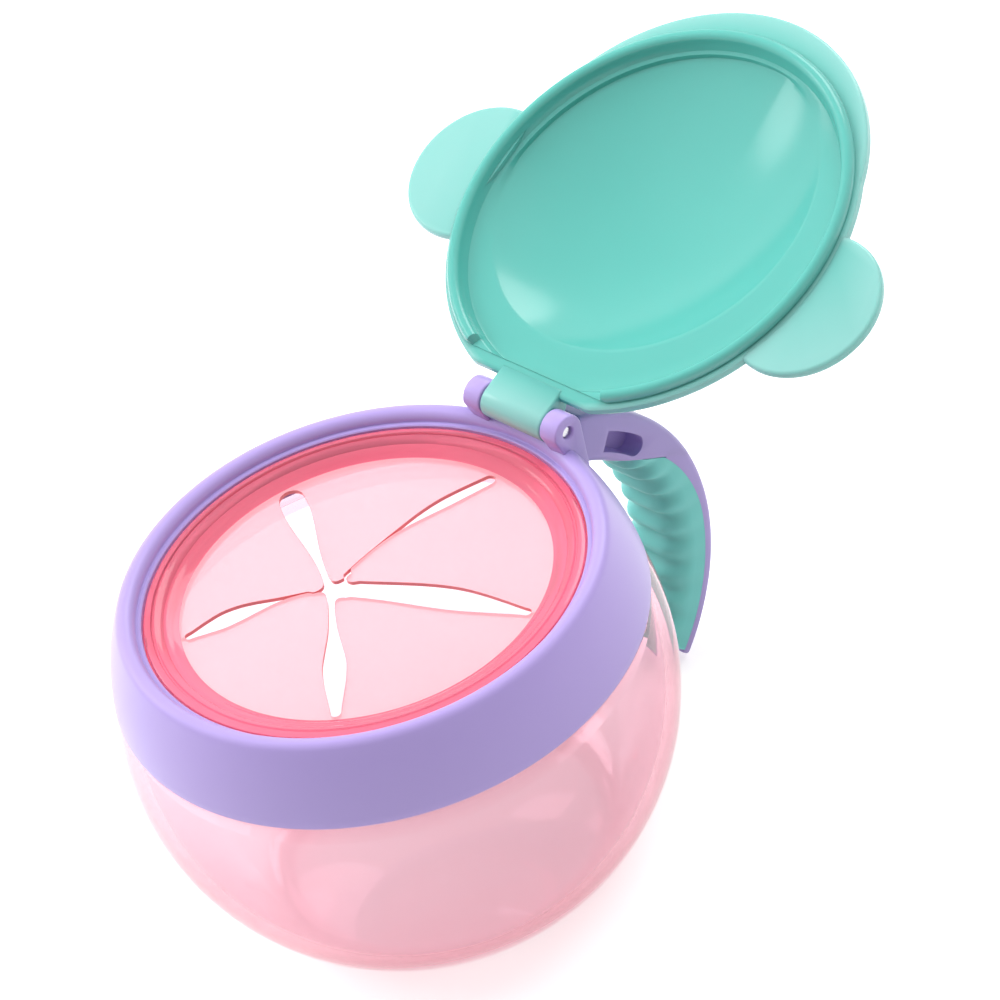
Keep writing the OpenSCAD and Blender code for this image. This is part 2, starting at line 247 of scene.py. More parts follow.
def moulded_skin():
    """Shared by all the moulded parts: slow unevenness of the gloss, a few handling
    marks and a very fine grain. It puts out a roughness and a normal."""
    group = bpy.data.node_groups.new("moulded skin", "ShaderNodeTree")
    for name, kind, way in (
        ("Roughness", "NodeSocketFloat", "INPUT"),
        ("Unevenness", "NodeSocketFloat", "INPUT"),
        ("Grain Scale", "NodeSocketFloat", "INPUT"),
        ("Grain Height", "NodeSocketFloat", "INPUT"),
        ("Marks", "NodeSocketFloat", "INPUT"),
        ("Roughness", "NodeSocketFloat", "OUTPUT"),
        ("Normal", "NodeSocketVector", "OUTPUT"),
    ):
        group.interface.new_socket(name=name, in_out=way, socket_type=kind)
    nodes, links = group.nodes, group.links
    inward, outward = nodes.new("NodeGroupInput"), nodes.new("NodeGroupOutput")
    where = nodes.new("ShaderNodeTexCoord")

    def noise(scale, detail):
        node = nodes.new("ShaderNodeTexNoise")
        node.inputs["Detail"].default_value = detail
        if scale:
            node.inputs["Scale"].default_value = scale
        links.new(where.outputs["Object"], node.inputs["Vector"])
        return node

    def math(operation, a, b):
        node = nodes.new("ShaderNodeMath")
        node.operation = operation
        for socket, value in zip(node.inputs, (a, b)):
            if isinstance(value, (int, float)):
                socket.default_value = value
            else:
                links.new(value, socket)
        return node.outputs[0]

    slow_scale, scratch_scale = 55, 900
    slow = noise(slow_scale, 2)
    grain = noise(None, 3)
    links.new(inward.outputs["Grain Scale"], grain.inputs["Scale"])
    scratches = noise(scratch_scale, 2)
    stretch = nodes.new("ShaderNodeMapping")
    stretch.inputs["Scale"].default_value = (1, 0.06, 0.3)
    stretch.inputs["Rotation"].default_value = (0.4, 0.2, 0.7)
    links.new(where.outputs["Object"], stretch.inputs["Vector"])
    links.new(stretch.outputs["Vector"], scratches.inputs["Vector"])
    fine = nodes.new("ShaderNodeMapRange")
    fine.inputs["From Min"].default_value = 0.62
    fine.inputs["From Max"].default_value = 0.75
    links.new(scratches.outputs["Fac"], fine.inputs["Value"])
    swing = math("MULTIPLY", math("SUBTRACT", slow.outputs["Fac"], 0.5),
                 inward.outputs["Unevenness"])
    marks = math("MULTIPLY", fine.outputs["Result"], inward.outputs["Marks"])
    gloss = math("ADD", math("ADD", inward.outputs["Roughness"], swing), marks)
    links.new(gloss, outward.inputs["Roughness"])
    bump = nodes.new("ShaderNodeBump")
    bump.inputs["Distance"].default_value = 0.02 * mm
    links.new(inward.outputs["Grain Height"], bump.inputs["Strength"])
    links.new(grain.outputs["Fac"], bump.inputs["Height"])
    links.new(bump.outputs["Normal"], outward.inputs["Normal"])
    return group


skin_group = moulded_skin()


def moulded(name, colour, roughness, unevenness, grain_scale, grain_height, marks,
            **sockets):
    """A moulded plastic or rubber with the shared skin. Further sockets are plain."""
    material = bpy.data.materials.new(name)
    material.use_nodes = True
    nodes, links = material.node_tree.nodes, material.node_tree.links
    shader = nodes["Principled BSDF"]
    shader.inputs["Base Color"].default_value = colour
    skin = nodes.new("ShaderNodeGroup")
    skin.node_tree = skin_group
    for socket, value in (("Roughness", roughness), ("Unevenness", unevenness),
                          ("Grain Scale", grain_scale), ("Grain Height", grain_height),
                          ("Marks", marks)):
        skin.inputs[socket].default_value = value
    links.new(skin.outputs["Roughness"], shader.inputs["Roughness"])
    links.new(skin.outputs["Normal"], shader.inputs["Normal"])
    for socket, value in sockets.items():
        shader.inputs[socket.replace("_", " ")].default_value = value
    return material


ball_r, ball_z = 47.1, 35.7
wall, bowl_floor = 2.6, 3
shoulder_z, neck_top, neck_foot_z = 48.3, 57.9, 48.0
neck_out, neck_in = 40.6, 38.6
foot_round, well_round = 2.5, 6
foot_ring_r, foot_recess = 26.5, 0.6
cavity_turn = 8


def foot_arc(radius, floor_z, rounding):
    """Centre and angle where a fillet between the floor and the ball meets the ball."""
    rise = floor_z + rounding - ball_z
    reach = sqrt((radius - rounding) ** 2 - rise**2)
    return (reach, floor_z + rounding), degrees(atan2(rise, reach))


foot_centre, foot_angle = foot_arc(ball_r, 0, foot_round)
well_centre, well_angle = foot_arc(ball_r - wall, bowl_floor, well_round)
shoulder_angle = degrees(asin((shoulder_z - ball_z) / ball_r))
turn_angle = degrees(asin(cavity_turn / (ball_r - wall)))
bowl_profile = (
    [(0, foot_recess), (foot_ring_r, foot_recess), (foot_ring_r + 0.9, 0)]
    + arc(foot_centre, foot_round, -90, foot_angle, 6)
    + arc((0, ball_z), ball_r, foot_angle, shoulder_angle, 44)[1:]
    + [(neck_out + 0.5, shoulder_z), (neck_out, shoulder_z + 0.5)]
    + arc((neck_out - 0.5, neck_top - 0.5), 0.5, 0, 90, 4)
    + arc((neck_in + 0.5, neck_top - 0.5), 0.5, 90, 180, 4)
    + [(neck_in, neck_foot_z)]
    + arc((0, ball_z), ball_r - wall, turn_angle, well_angle, 40)
    + arc(well_centre, well_round, well_angle, -90, 8)[1:]
    + [(0, bowl_floor)]
)

ridge_out, ridge_half, ridge_taper, ridge_bite = 1.1, 0.6, 0.6, 0.15
starts, lead, ridge_span, ridge_steps = 3, 12, 80, 20


def thread(radius, outwards, low):
    """The screw ridges on a neck or in a bore, one rising bar for each start."""
    tip = radius + outwards * ridge_out
    foot = radius - outwards * ridge_bite
    section = [(foot, -ridge_half), (tip, -ridge_half * ridge_taper),
               (tip, ridge_half * ridge_taper), (foot, ridge_half)]
    return [
        swept(section, lambda r, z: (r, 0, low + ridge_half + z), (0, 0, 0), (0, 0, 1),
              360 / starts * i, 360 / starts * i + ridge_span, ridge_steps,
              lead * ridge_span / 360)
        for i in range(starts)
    ]


longest_path = 5


def clear_to_light(material, colour):
    """Light on its way to other pieces goes straight through, tinted with the colour, so
    what stands in the shade of a clear piece isn't black. So does a ray that has been
    thrown to and fro inside the wall."""
    nodes, links = material.node_tree.nodes, material.node_tree.links
    trapped = nodes.new("ShaderNodeMath")
    trapped.operation = "GREATER_THAN"
    trapped.inputs[1].default_value = longest_path
    links.new(nodes.new("ShaderNodeLightPath").outputs["Ray Depth"], trapped.inputs[0])
    passes = nodes.new("ShaderNodeMath")
    passes.operation = "MAXIMUM"
    links.new(on_rays(nodes, links, "Is Shadow Ray", "Is Diffuse Ray"), passes.inputs[0])
    links.new(trapped.outputs["Value"], passes.inputs[1])
    through = nodes.new("ShaderNodeBsdfTransparent")
    through.inputs["Color"].default_value = colour
    either = nodes.new("ShaderNodeMixShader")
    links.new(passes.outputs["Value"], either.inputs["Fac"])
    links.new(nodes["Principled BSDF"].outputs["BSDF"], either.inputs[1])
    links.new(through.outputs["BSDF"], either.inputs[2])
    links.new(either.outputs["Shader"], nodes["Material Output"].inputs["Surface"])


clear_pink = moulded("clear pink plastic", tint(250, 243, 247), 0.04, 0.03, 900, 0.05,
                     0.05, IOR=1.06, Transmission_Weight=1.0, Coat_Weight=0.6,
                     Coat_Roughness=0.03, Coat_IOR=1.5)
nodes, links = clear_pink.node_tree.nodes, clear_pink.node_tree.links
body_colour = nodes.new("ShaderNodeVolumeAbsorption")
body_colour.inputs["Color"].default_value = (0.85, 0.3, 0.42, 1)
body_colour.inputs["Density"].default_value = 82
links.new(body_colour.outputs["Volume"], nodes["Material Output"].inputs["Volume"])
clear_to_light(clear_pink, tint(243, 249, 247))
thread_low = 51.8
as_piece("bowl_body", joined(turned(bowl_profile), *thread(neck_out, 1, thread_low)),
         clear_pink, "bowl", ["bowl"])


# Collar: a lavender ring that screws down over the neck, moulded in one with the hinge
# lugs and the hard spine of the handle. Its rolled lip frames the mouth.
seam_z, side_foot_r = 48.6, 45.63
lip_z, lip_r, lip_round = 63, 40.1, 1.75
side_bulge, bore_r = 40, 42.1
land_r, land_top, land_under = 37.5, 61.1, 59.7


def tangent_side():
    """The side's arc runs from the seam into the lip's roll without a crease."""
    foot, lip = Vector((side_foot_r, seam_z + 0.6)), Vector((lip_r, lip_z - lip_round))
    apart = (lip - foot).length
    a, b = side_bulge, side_bulge - lip_round
    along = (a * a - b * b + apart * apart) / (2 * apart)
    across = (lip - foot).normalized()
    centre = foot + across * along + Vector((-across.y, across.x)) * sqrt(a * a - along**2)
    return centre, degrees(atan2(*(foot - centre).yx)), degrees(atan2(*(lip - centre).yx))


side_centre, side_low, side_high = tangent_side()
lip_centre = (lip_r, lip_z - lip_round)
collar_profile = (
    [(bore_r + 0.5, seam_z), (side_foot_r - 0.5, seam_z), (side_foot_r - 0.1, seam_z + 0.2)]
    + arc(side_centre, side_bulge, side_low, side_high, 14)
    + arc(lip_centre, lip_round, side_high, 180, 14)[1:]
    + [(lip_r - lip_round, land_top + 0.1), (lip_r - lip_round - 0.1, land_top),
       (land_r + 0.2, land_top), (land_r, land_top - 0.2), (land_r, land_under),
       (bore_r - 1, land_under), (bore_r, land_under - 2), (bore_r, seam_z + 0.5)]
)

arm_y, arm_z = 31.147, 28.842
arm_out, arm_in, spine_in = 37.5, 28.4, 35.3
arm_half, arm_round, spine_round = 7, 1.8, 1.1
arm_end, arm_root = -49, 66
grip_line_in, grip_line_out = (49.554, 50.470), (64.318, 40.915)
arm_centre = (0, arm_y, arm_z)


def on_arm(across, r):
    """A point of the arm's section, in the sweep's starting plane."""
    return (across, arm_y + r, arm_z)


def corner(x, r, rounding, start, parts=4):
    """One rounded corner of the arm's section, as (across, distance) points."""
    turns = [radians(start + 90 * i / parts) for i in range(parts + 1)]
    return [(x + rounding * cos(a), r + rounding * sin(a)) for a in turns]


def cut_at_grip_line(bm, keep, gap=0):
    """Cuts a bar along the slanted line where the rubber starts. keep is 1 for the part
    above the line and -1 for the part below, which starts a gap lower."""
    run = Vector((0, *grip_line_out)) - Vector((0, *grip_line_in))
    above = Vector((0, -run.z, run.y)).normalized()
    start = Vector((0, *grip_line_in)) - above * gap
    bmesh.ops.bisect_plane(bm, geom=bm.verts[:] + bm.edges[:] + bm.faces[:], plane_co=start,
                           plane_no=above * keep, clear_inner=True, dist=1e-5)
    bmesh.ops.holes_fill(bm, edges=bm.edges, sides=0)
    bmesh.ops.recalc_face_normals(bm, faces=bm.faces)
    return bm


root_section = (
    corner(arm_half - spine_round, arm_out - spine_round, spine_round, 0)
    + corner(-arm_half + spine_round, arm_out - spine_round, spine_round, 90)
    + corner(-arm_half + arm_round, arm_in + arm_round, arm_round, 180)
    + corner(arm_half - arm_round, arm_in + arm_round, arm_round, 270)
)
root_from = 10
root = cut_at_grip_line(
    swept(root_section, on_arm, arm_centre, (1, 0, 0), root_from, arm_root, 56), 1)
bmesh.ops.dissolve_limit(root, angle_limit=radians(0.2), verts=root.verts, edges=root.edges)

spine_bite = 0.02
spine_half = arm_half - spine_bite
flare_from, flare_to, flare_depth = -4, 24, 2.0


def flare(angle):
    """How far the spine thickens inwards on its way up to the root."""
    share = max(0, min(1, (angle - flare_from) / (flare_to - flare_from)))
    return flare_depth * share**1.6


def arm_angle(co):
    """How far round the arm's curve a point lies, in degrees."""
    return degrees(atan2(co.z - arm_z, co.y - arm_y))


def shift_on_arm(vert, inwards):
    """Moves a point of the arm towards the middle of its curve."""
    angle = radians(arm_angle(vert.co))
    vert.co.y -= inwards * cos(angle)
    vert.co.z -= inwards * sin(angle)


spine_section = (
    corner(spine_half - spine_round, arm_out - spine_round - spine_bite, spine_round, 0)
    + corner(-spine_half + spine_round, arm_out - spine_round - spine_bite, spine_round, 90)
    + [(-spine_half, spine_in), (spine_half, spine_in)]
)
spine = swept(spine_section, on_arm, arm_centre, (1, 0, 0), arm_end, flare_to, 73)
for vert in spine.verts:
    if hypot(vert.co.y - arm_y, vert.co.z - arm_z) < spine_in + 0.1:
        shift_on_arm(vert, flare(arm_angle(vert.co)))
spine_lap = 1.2
cut_at_grip_line(spine, -1, gap=-spine_lap)
tip_edges = [e for e in spine.edges if e.calc_face_angle(0) > 0.6
             and all(abs(arm_end - arm_angle(v.co)) < 0.5 for v in e.verts)]
bmesh.ops.bevel(spine, geom=tip_edges, offset=0.6, affect="EDGES", segments=3, profile=0.5,
                material=-1)


def worked(bm, *steps):
    """The blank after modifiers, each given as its type and settings."""
    mesh = bpy.data.meshes.new("blank")
    bm.to_mesh(mesh)
    bm.free()
    blank = bpy.data.objects.new("blank", mesh)
    bpy.context.scene.collection.objects.link(blank)
    for kind, settings in steps:
        modifier = blank.modifiers.new(kind, kind)
        for key, value in settings.items():
            setattr(modifier, key, value)
    result = bmesh.new()
    result.from_object(blank, bpy.context.evaluated_depsgraph_get())
    bpy.data.objects.remove(blank)
    return result


def rod(radius, x0, x1, y, z, steps=48):
    """A round rod across the cup."""
    bm = bmesh.new()
    bmesh.ops.create_cone(bm, cap_ends=True, segments=steps, radius1=radius,
                          radius2=radius, depth=x1 - x0,
                          matrix=Matrix.Translation(((x0 + x1) / 2, y, z))
                          @ Matrix.Rotation(pi / 2, 4, "Y"))
    return bm


def cut_out(bm, tool_bm, edge):
    """The blank less another one, with its sharp edges softened."""
    mesh = bpy.data.meshes.new("cutter")
    tool_bm.to_mesh(mesh)
    tool_bm.free()
    cutter = bpy.data.objects.new("cutter", mesh)
    bpy.context.scene.collection.objects.link(cutter)
    done = worked(
        bm,
        ("BOOLEAN", {"operation": "DIFFERENCE", "solver": "EXACT", "object": cutter}),
        ("BEVEL", {"width": edge, "segments": 3, "limit_method": "ANGLE",
                   "angle_limit": radians(35)}),
    )
    bpy.data.objects.remove(cutter)
    return done


def slab(outline, x0, x1):
    """A side view, drawn in Y and Z, as a solid from x0 to x1."""
    bm = bmesh.new()
    face = bm.faces.new([bm.verts.new((x0, y, z)) for y, z in outline])
    grown = bmesh.ops.extrude_face_region(bm, geom=[face])["geom"]
    bmesh.ops.translate(bm, verts=[v for v in grown if isinstance(v, bmesh.types.BMVert)],
                        vec=(x1 - x0, 0, 0))
    bmesh.ops.recalc_face_normals(bm, faces=bm.faces)
    return bm


pocket_r, pocket_half, pocket_depth = 32.22, 1.9, 4
pocket_from, pocket_to = 40, 54
pocket_middle = (arm_y, arm_z)
pocket_outline = (
    arc(pocket_middle, pocket_r + pocket_half, pocket_from, pocket_to, 10)
    + arc(pocket_middle, pocket_r - pocket_half, pocket_to, pocket_from, 10)
    + arc(arc(pocket_middle, pocket_r, pocket_from, pocket_to, 10)[0],
          pocket_half, pocket_from - 165, pocket_from - 15, 14)
)
pockets = joined(slab(pocket_outline, -arm_half - 1, -arm_half + pocket_depth),
                 slab(pocket_outline, arm_half - pocket_depth, arm_half + 1))
root = cut_out(root, pockets, 0.3)

hinge_y, hinge_z = 40, 66.2
lug_r, lug_in, lug_out = 3.1, 7.2, 11.0
pin_r, lug_clearance, drill_half = 1.05, 0.08, 20
lug_outline = arc((hinge_y, hinge_z), lug_r, 2, 180, 20) + [
    (38.35, 61.85), (40.4, 60.25), (42.0, 57), (42.6, 57)]
lugs = [
    cut_out(slab(lug_outline, min(side * lug_in, side * lug_out),
                 max(side * lug_in, side * lug_out)),
            rod(pin_r + lug_clearance, -drill_half, drill_half, hinge_y, hinge_z), 0.35)
    for side in (-1, 1)
]
lavender = moulded("lavender plastic", tint(171, 152, 212), 0.34, 0.06, 1500, 0.22, 0.05,
                   IOR=1.47, Subsurface_Weight=0.12, Subsurface_Scale=1.5 * mm,
                   Subsurface_Radius=(1.0, 0.8, 1.0))
thread_high = 49.8
as_piece("collar_ring", joined(turned(collar_profile), *thread(bore_r, -1, thread_high)),
         lavender, "collar", ["collar"])
as_piece("collar_arm", joined(root, spine), lavender, "collar", [])
as_piece("collar_lugs", joined(*lugs), lavender, "collar", [])


# Grip: soft teal rubber moulded over the inner face of the arm, with rounded waves
# across it for small fingers.
grip_foot, grip_top, grip_round = -48, 52, 4.5
wave_from, wave_to, wave_count, wave_depth, wave_swell = -43, 41.6, 10, 1.3, 0.55
middle_half, waist, grip_gap = 1.2, 0.06, 0.14
grip_section = (
    [(arm_half, spine_in), (-arm_half, spine_in)]
    + corner(-arm_half + grip_round, arm_in + grip_round, grip_round, 180, 8)
    + [(-middle_half, arm_in), (middle_half, arm_in)]
    + corner(arm_half - grip_round, arm_in + grip_round, grip_round, 270, 8)
)
grip = swept(grip_section, on_arm, arm_centre, (1, 0, 0), grip_foot, grip_top, 200)
for vert in grip.verts:
    angle = arm_angle(vert.co)
    reach = hypot(vert.co.y - arm_y, vert.co.z - arm_z)
    inner = max(0, min(1, (spine_in - reach) / (spine_in - arm_in)))
    phase = (angle - wave_from) / (wave_to - wave_from) * (wave_count - 1)
    if -0.5 < phase < wave_count - 0.5:
        valley = 0.5 - 0.5 * cos(2 * pi * phase)
        shift_on_arm(vert, inner * (wave_swell - wave_depth * valley))
        vert.co.x *= 1 - waist * inner * valley
    shift_on_arm(vert, (1 - inner) * flare(angle))
cut_at_grip_line(grip, -1, gap=grip_gap)
teal_rubber = moulded("teal rubber", tint(122, 212, 205), 0.46, 0.08, 1300, 0.35, 0.05,
                      IOR=1.42, Subsurface_Weight=0.2, Subsurface_Scale=2 * mm,
                      Subsurface_Radius=(0.8, 1.0, 1.0))
as_piece("grip_pad", grip, teal_rubber, "collar", ["grip"])


# Hinge pin: a plain steel pin pressed through both lugs, with the lid's knuckle free to
# turn on it. Its ends sit below the lugs' faces.
pin_half, pin_chamfer = 10.4, 0.25
pin = rod(pin_r, -pin_half, pin_half, hinge_y, hinge_z)
bmesh.ops.bevel(pin, geom=[e for e in pin.edges if e.calc_face_angle() > 1],
                offset=pin_chamfer, affect="EDGES", segments=3, profile=0.5, material=-1)
steel = moulded("steel", (0.62, 0.62, 0.64, 1), 0.24, 0.1, 2500, 0.2, 0.15, Metallic=1.0)
as_piece("pin", pin, steel, "collar", ["hinge_pin"])


# Lid: one glossy teal moulding, a shallow dome with a rounded ring inside that plugs the
# mouth, a thin flange with two round ears and a front bump, and the hinge knuckle.
# It is drawn closed and then turned open about the pin.
lid_r, bump_r, bump_y = 38.4, 35.5, 6.7
ear_r, ear_x, ear_y = 13.6, 38, 4.2
rim_under, rim_top = 63.4, 65.4
ring_out, ring_in, ring_tip, ring_roll = 37.4, 34.6, 61.65, 1.2
ring_neck = 36.6
dome_height, cave_foot = 10, 64.6
crease_r, crease_x, crease_y, crease_z, cave_height = 30.4, -3.2, -4, 65.6, 7.4
hinge_cut, ring_break = 36, 15.5
open_angle = -160.5
lid_segments = 360


def flange_reach(angle):
    """How far the flange goes in a direction: the main circle, the front bump and the
    straight cut at the hinge."""
    x, y = cos(angle), sin(angle)
    bump = -bump_y * y + sqrt(bump_r**2 - (bump_y * x) ** 2)
    reach = max(lid_r, bump)
    return min(reach, hinge_cut / y) if y > 0 else reach


def at_hinge(angle):
    """1 where the ring is broken off beside the hinge and 0 elsewhere, with short ends."""
    x, y = ring_out * cos(angle), sin(angle)
    return max(0, min(1, (ring_break - abs(x)) / 0.3)) if y > 0 else 0


def sphere_drop(r, foot_r, height):
    """How high a dome's skin is above the dome's foot, at a distance from its middle."""
    ball = (foot_r**2 + height**2) / (2 * height)
    return sqrt(ball**2 - r**2) - (ball - height)


edge_round = 0.7
dome_r = ring_out - 0.4
chord_r = hinge_cut - 2.4


def ring_limit(angle, r):
    """Keeps a loop of the ring or the dome inside the straight cut at the hinge."""
    y = sin(angle)
    return min(r, chord_r / y) if y > 0 else r


def lid_loops():
    """Rings of the lid's skin from the dome's top, over the edge, to the hollow's top. Each
    gives, for a direction, how far out it lies and how high."""
    for i in range(1, 15):
        r = dome_r * i / 14
        yield lambda a, r=r: (min(r, flange_reach(a) - 1.2),
                              rim_top + sphere_drop(r, dome_r, dome_height))
    for turn in (90, 60, 30, 0, 0, -30, -60, -90):
        out, rise = edge_round * cos(radians(turn)), edge_round * sin(radians(turn))
        middle = rim_under + edge_round if turn < 0 else rim_top - edge_round
        yield lambda a, out=out, rise=rise, middle=middle: (
            flange_reach(a) - edge_round + out, middle + rise)
    yield lambda a: (min(ring_neck + 0.3, flange_reach(a) - 1), rim_under)
    yield lambda a: (ring_limit(a, ring_neck), rim_under - 0.15 + 0.15 * at_hinge(a))
    for turn in range(-20, 181, 20):
        out, rise = cos(radians(turn)), -sin(radians(turn))

        def crest(a, out=out, rise=rise):
            low = ring_tip + ring_roll + ring_roll * rise
            flat = rim_under + 0.1 + 0.25 * rise
            share = at_hinge(a)
            return (ring_limit(a, ring_out - ring_roll + ring_roll * out),
                    low * (1 - share) + flat * share)

        yield crest
    yield lambda a: (ring_limit(a, ring_in) - 0.05, cave_foot - 0.7)
    yield lambda a: (ring_limit(a, ring_in) - 0.3, cave_foot - 0.2)
    yield lambda a: (ring_limit(a, ring_in) - 0.9, cave_foot + 0.1)
    for share in (0.35, 0.7, 0.9):
        yield lambda a, share=share: (
            (ring_limit(a, ring_in) - 0.9) * (1 - share) + ring_limit(a, crease(a)) * share,
            (cave_foot + 0.1) * (1 - share) + crease_z * share)
    for share in (1, 0.985):
        yield lambda a, share=share: (ring_limit(a, crease(a)) * share,
                                      crease_z + 0.25 * (1 - share) / 0.015)
    for i in range(14, 0, -1):
        yield lambda a, share=i / 15: (
            ring_limit(a, crease(a)) * share,
            crease_z + 0.1 + sphere_drop(crease_r * share, crease_r, cave_height))


def crease(a):
    """How far out, in a direction, the flat band in the lid turns up into the hollow."""
    across = crease_x * sin(a) - crease_y * cos(a)
    reach = crease_x * cos(a) + crease_y * sin(a) + sqrt(crease_r**2 - across**2)
    return min(reach, ring_in - 1)


def shaped_shell(loops, segments):
    """A closed shell: a round of edges is extruded from loop to loop and set to each
    loop's shape, and both ends are closed with a fan."""
    bm = bmesh.new()
    start = bmesh.ops.create_circle(bm, cap_ends=False, segments=segments, radius=1)
    ring = start["verts"]
    first_edges = edges = list(bm.edges)
    for count, loop in enumerate(loops):
        if count:
            grown = bmesh.ops.extrude_edge_only(bm, edges=edges)["geom"]
            ring = [g for g in grown if isinstance(g, bmesh.types.BMVert)]
            edges = [g for g in grown if isinstance(g, bmesh.types.BMEdge)
                     and g.verts[0] in ring and g.verts[1] in ring]
        for v in ring:
            angle = atan2(v.co.y, v.co.x)
            r, z = loop(angle)
            v.co = (r * cos(angle), r * sin(angle), z)
    for rim in (first_edges, edges):
        cap = bmesh.ops.holes_fill(bm, edges=rim, sides=0)["faces"]
        bmesh.ops.poke(bm, faces=cap)
    bmesh.ops.recalc_face_normals(bm, faces=bm.faces)
    return bm


lid_shell = shaped_shell(lid_loops(), lid_segments)

ears = []
ear_join, ear_inset = 34.2, 0.06
for side in (-1, 1):
    ear = bmesh.new()
    bmesh.ops.create_cone(ear, cap_ends=True, segments=96, radius1=ear_r, radius2=ear_r,
                          depth=rim_top - rim_under - 2 * ear_inset,
                          matrix=Matrix.Translation((side * ear_x, ear_y,
                                                     (rim_top + rim_under) / 2)))
    bmesh.ops.bevel(ear, geom=[e for e in ear.edges if e.calc_face_angle() > 1],
                    offset=edge_round, affect="EDGES", segments=4, profile=0.5,
                    material=-1)
    bmesh.ops.bisect_plane(ear, geom=ear.verts[:] + ear.edges[:] + ear.faces[:],
                           plane_co=(side * ear_join, 0, 0), plane_no=(side, 0, 0),
                           clear_inner=True)
    bmesh.ops.holes_fill(ear, edges=ear.edges, sides=0)
    bmesh.ops.recalc_face_normals(ear, faces=ear.faces)
    ears.append(ear)

knuckle_half, knuckle_r, knuckle_clearance = 7, 3.0, 0.05
knuckle_outline = (
    arc((hinge_y, hinge_z), knuckle_r, -90, 90, 16)
    + [(hinge_cut - 1.5, rim_top + 0.6), (hinge_cut - 1.5, rim_under - 0.15)]
)
knuckle = cut_out(slab(knuckle_outline, -knuckle_half, knuckle_half),
                  rod(pin_r + knuckle_clearance, -9, 9, hinge_y, hinge_z), 0.4)

# The flange and the ears, from 36.9 mm out, are painted a paler teal. This is painted
# light: it stands in for light coming through the thin flange and for the white room that
# the flange mirrors.
deep_teal, painted_lit_teal = tint(86, 172, 163), tint(130, 190, 184)
painted_light_from, painted_light_over = 36.9, 1.4
teal_gloss = moulded("teal plastic", deep_teal, 0.18, 0.05, 700, 0.05, 0.04,
                     IOR=1.5, Subsurface_Weight=0.25, Subsurface_Scale=2.5 * mm,
                     Subsurface_Radius=(0.5, 1.0, 0.9))
nodes, links = teal_gloss.node_tree.nodes, teal_gloss.node_tree.links
painted_light_reader = nodes.new("ShaderNodeAttribute")
painted_light_reader.attribute_name = "painted_light_share"
painted_lighter_mix = nodes.new("ShaderNodeMix")
painted_lighter_mix.data_type = "RGBA"
painted_lighter_mix.inputs["A"].default_value = deep_teal
painted_lighter_mix.inputs["B"].default_value = painted_lit_teal
links.new(painted_light_reader.outputs["Fac"], painted_lighter_mix.inputs["Factor"])
links.new(painted_lighter_mix.outputs["Result"], nodes["Principled BSDF"].inputs["Base Color"])
lid = joined(lid_shell, *ears, knuckle)
# Each point's share of the painted light rises from 0 at 36.9 mm to 1 at 38.3 mm out.
painted_light_share = lid.verts.layers.float.new("painted_light_share")
for vert in lid.verts:
    vert[painted_light_share] = max(0, min(1, (hypot(vert.co.x, vert.co.y) - painted_light_from) / painted_light_over))
bmesh.ops.rotate(lid, verts=lid.verts, cent=(0, hinge_y, hinge_z),
                 matrix=Matrix.Rotation(radians(open_angle), 3, "X"))
as_piece("lid_shell", lid, teal_gloss, "lid", ["lid"])


# Mouth insert: a soft, see-through pink rubber moulding that is clamped under the
# collar's land. Its stepped rim stands round a thin skin.
skin_top, skin_under = 59.1, 57.9
insert_r, insert_top, well_r = 37.2, 61, 31.6
skirt_out, skirt_in, skirt_foot = 38.3, 36.7, 54.4
flange_r, flange_top = 40.2, 59.55
insert_profile = [
    (well_r - 0.2, skin_under), (skirt_in, skin_under - 0.2), (skirt_in, skirt_foot + 0.3),
    (skirt_in + 0.3, skirt_foot), (skirt_out - 0.3, skirt_foot),
    (skirt_out, skirt_foot + 0.3), (skirt_out, neck_top + 0.15),
    (flange_r, neck_top + 0.15), (flange_r, flange_top),
    (insert_r, flange_top), (insert_r, insert_top - 0.6),
    (insert_r - 0.15, insert_top - 0.2),
    (insert_r - 0.6, insert_top), (insert_r - 1.25, insert_top - 0.08),
    (insert_r - 1.45, insert_top - 0.42), (insert_r - 1.7, insert_top - 0.42),
    (insert_r - 1.9, insert_top - 0.16), (insert_r - 2.2, insert_top - 0.25),
    (insert_r - 2.9, insert_top - 0.45), (insert_r - 3.3, insert_top - 0.9),
    (insert_r - 3.8, insert_top - 0.95), (well_r + 0.9, skin_top + 0.5),
    (well_r + 0.3, skin_top + 0.15), (well_r - 0.2, skin_top - 0.02),
]
pink_rim = moulded("pink rubber rim", tint(238, 124, 150), 0.18, 0.06, 900, 0.15, 0.03,
                   IOR=1.3, Transmission_Weight=0.6, Coat_Weight=0.4)
clear_to_light(pink_rim, tint(255, 196, 206))
as_piece("insert_rim", turned(insert_profile), pink_rim, "insert",
         ["insert_ring"])


# Flaps: the slits cut the skin into five soft triangles with round tips that meet a little
# off centre. Each slit opens in its own way, since the soft skin has taken a set. A flap is
# drawn with its share of the skin outside the fold, with extra loops of edges across the
# fold.
slit_r = 30.8
star = Vector((-5, -3.5))
fold_r = slit_r * cos(radians(36))
tip_round = 2.2
slit_forms = (
    (1.2, 2.3, (0.12, 0.12, 0.14, 0.2, 0.8, 1.9, 2.7, 2.7)),
    (2.2, 0.0, (1.2, 1.0, 1.1, 1.6, 2.4, 3.3, 4.1, 4.5)),
    (0.8, -1.5, (0.3, 0.3, 0.5, 1.2, 2.6, 3.8, 4.1, 3.0)),
    (0.9, 0.1, (1.3, 1.1, 1.2, 1.8, 3.0, 4.0, 3.7, 2.7)),
    (0.8, 1.0, (3.7, 3.8, 4.2, 4.8, 5.3, 5.3, 4.4, 3.0)),
)


def slit_run(i):
    """The unit vector along a slit and the centre of its round outer end."""
    angle = radians(90 + 72 * i)
    end = (slit_r - slit_forms[i % 5][0]) * Vector((cos(angle), sin(angle)))
    return (end - star).normalized(), end


